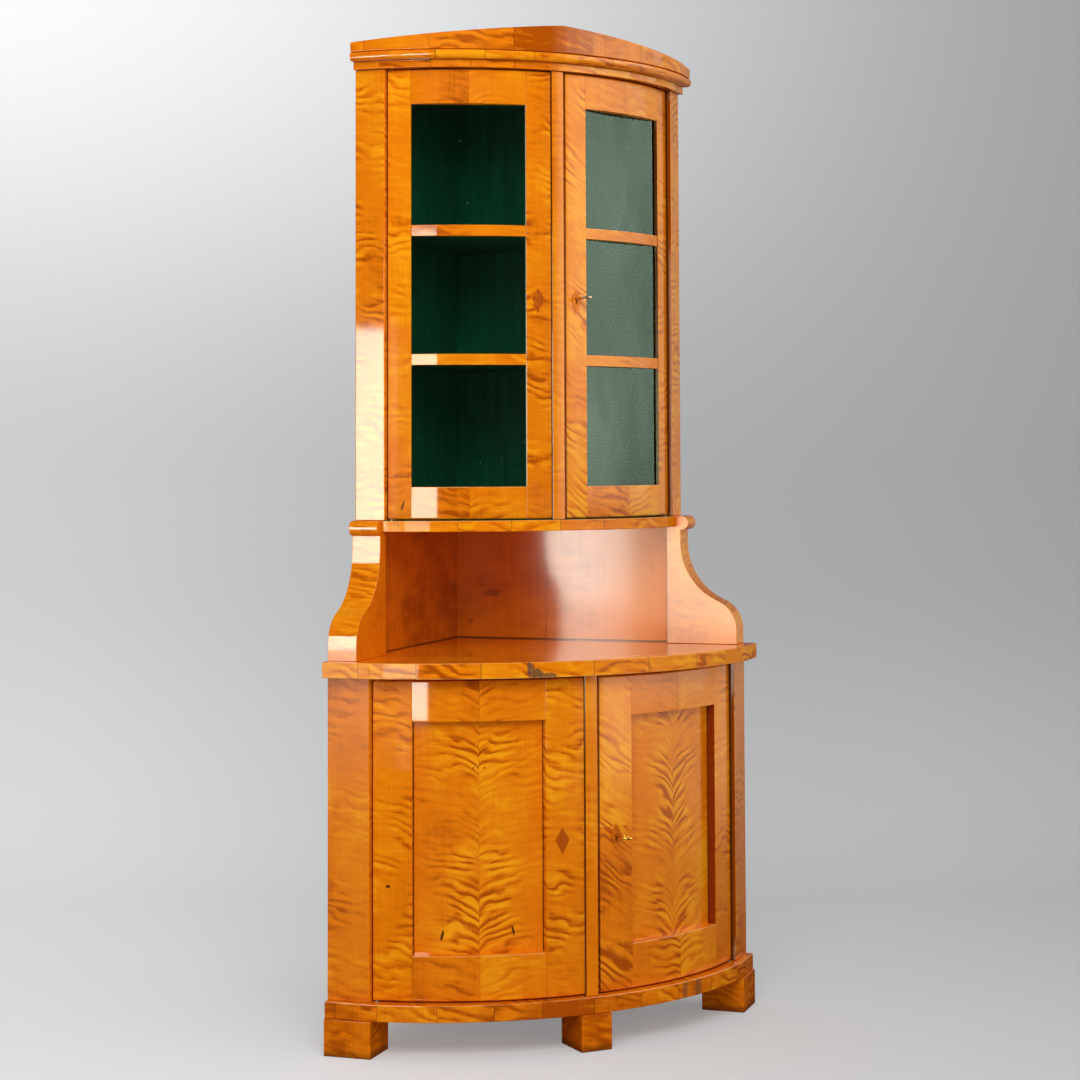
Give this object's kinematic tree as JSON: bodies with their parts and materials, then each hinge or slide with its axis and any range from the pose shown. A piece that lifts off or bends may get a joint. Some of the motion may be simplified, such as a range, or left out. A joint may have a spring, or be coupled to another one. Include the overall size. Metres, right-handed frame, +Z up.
{
  "type": "bow front corner cabinet",
  "caption": "Two-part corner cabinet with a bowed front: panelled lower doors, an open niche between scrolled brackets, glazed upper doors and a gabled cornice.",
  "frame": {"origin": "on the floor, under the middle of the cabinet's bounding box", "axes": "+Z up, -Y towards the person who opens the doors, +X to that person's right; the two backs lie at 45 degrees to X and Y and meet at the largest Y"},
  "size_m": [1.0702, 0.7842, 2.2],
  "materials": {
    "birch": "polished figured birch veneer",
    "birch_back": "plain birch boards with a thin polish",
    "painted_shelf": "worn dark green paint",
    "glass": "clear flat window glass",
    "brass": "polished",
    "steel": "plain, aged"
  },
  "bodies": {
    "cabinet": {"foot_front_left": "birch", "foot_front_right": "birch", "foot_front_centre": "birch", "base_board": "birch", "lower_stile_left": "birch", "lower_stile_right": "birch", "table_top": "birch", "bracket_left": "birch", "bracket_right": "birch", "upper_stile_left": "birch", "upper_stile_right": "birch", "upper_bottom": "birch", "cornice": "birch", "pediment": "birch", "foot_back": "birch_back", "lower_back_left": "birch_back", "lower_back_right": "birch_back", "lower_shelf": "birch_back", "upper_back_left": "birch_back", "upper_back_right": "birch_back", "upper_shelf_low": "painted_shelf", "upper_shelf_high": "painted_shelf", "lower_left_pin_bottom": "steel", "lower_left_pin_top": "steel", "lower_right_pin_bottom": "steel", "lower_right_pin_top": "steel", "upper_left_pin_bottom": "steel", "upper_left_pin_top": "steel", "upper_right_pin_bottom": "steel", "upper_right_pin_top": "steel"},
    "lower_left_door": {"lower_left_hinge_stile": "birch", "lower_left_meeting_stile": "birch", "lower_left_top_rail": "birch", "lower_left_bottom_rail": "birch", "lower_left_panel": "birch", "lower_astragal": "birch"},
    "lower_right_door": {"lower_right_hinge_stile": "birch", "lower_right_meeting_stile": "birch", "lower_right_top_rail": "birch", "lower_right_bottom_rail": "birch", "lower_right_panel": "birch", "lower_lock": "steel"},
    "upper_left_door": {"upper_left_hinge_stile": "birch", "upper_left_meeting_stile": "birch", "upper_left_top_rail": "birch", "upper_left_bottom_rail": "birch", "upper_left_bar_low": "birch", "upper_left_bar_high": "birch", "upper_left_glass": "glass", "upper_astragal": "birch"},
    "upper_right_door": {"upper_right_hinge_stile": "birch", "upper_right_meeting_stile": "birch", "upper_right_top_rail": "birch", "upper_right_bottom_rail": "birch", "upper_right_bar_low": "birch", "upper_right_bar_high": "birch", "upper_right_glass": "glass", "upper_lock": "steel"},
    "lower_key": {"lower_key": "brass"},
    "upper_key": {"upper_key": "brass"}
  },
  "joints": [
    {"name": "lower_left_door_hinge", "type": "hinge", "parent": "cabinet", "child": "lower_left_door", "pos_m": [-0.42589, -0.18441, 0.115], "axis": [0, 0, -1], "range_deg": [0, 95]},
    {"name": "lower_right_door_hinge", "type": "hinge", "parent": "cabinet", "child": "lower_right_door", "pos_m": [0.42589, -0.18441, 0.115], "axis": [0, 0, 1], "range_deg": [0, 95]},
    {"name": "upper_left_door_hinge", "type": "hinge", "parent": "cabinet", "child": "upper_left_door", "pos_m": [-0.33962, -0.06137, 1.1148], "axis": [0, 0, -1], "range_deg": [0, 95]},
    {"name": "upper_right_door_hinge", "type": "hinge", "parent": "cabinet", "child": "upper_right_door", "pos_m": [0.33962, -0.06137, 1.1148], "axis": [0, 0, 1], "range_deg": [0, 95]},
    {"name": "lower_key_turn", "type": "hinge", "parent": "lower_right_door", "child": "lower_key", "pos_m": [0.0609, -0.33631, 0.442], "axis": [0.0883, -0.9961, 0], "range_deg": [-90, 270]},
    {"name": "upper_key_turn", "type": "hinge", "parent": "upper_right_door", "child": "upper_key", "pos_m": [0.0464, -0.19044, 1.599], "axis": [0.0875, -0.9962, 0], "range_deg": [-90, 270]}
  ]
}
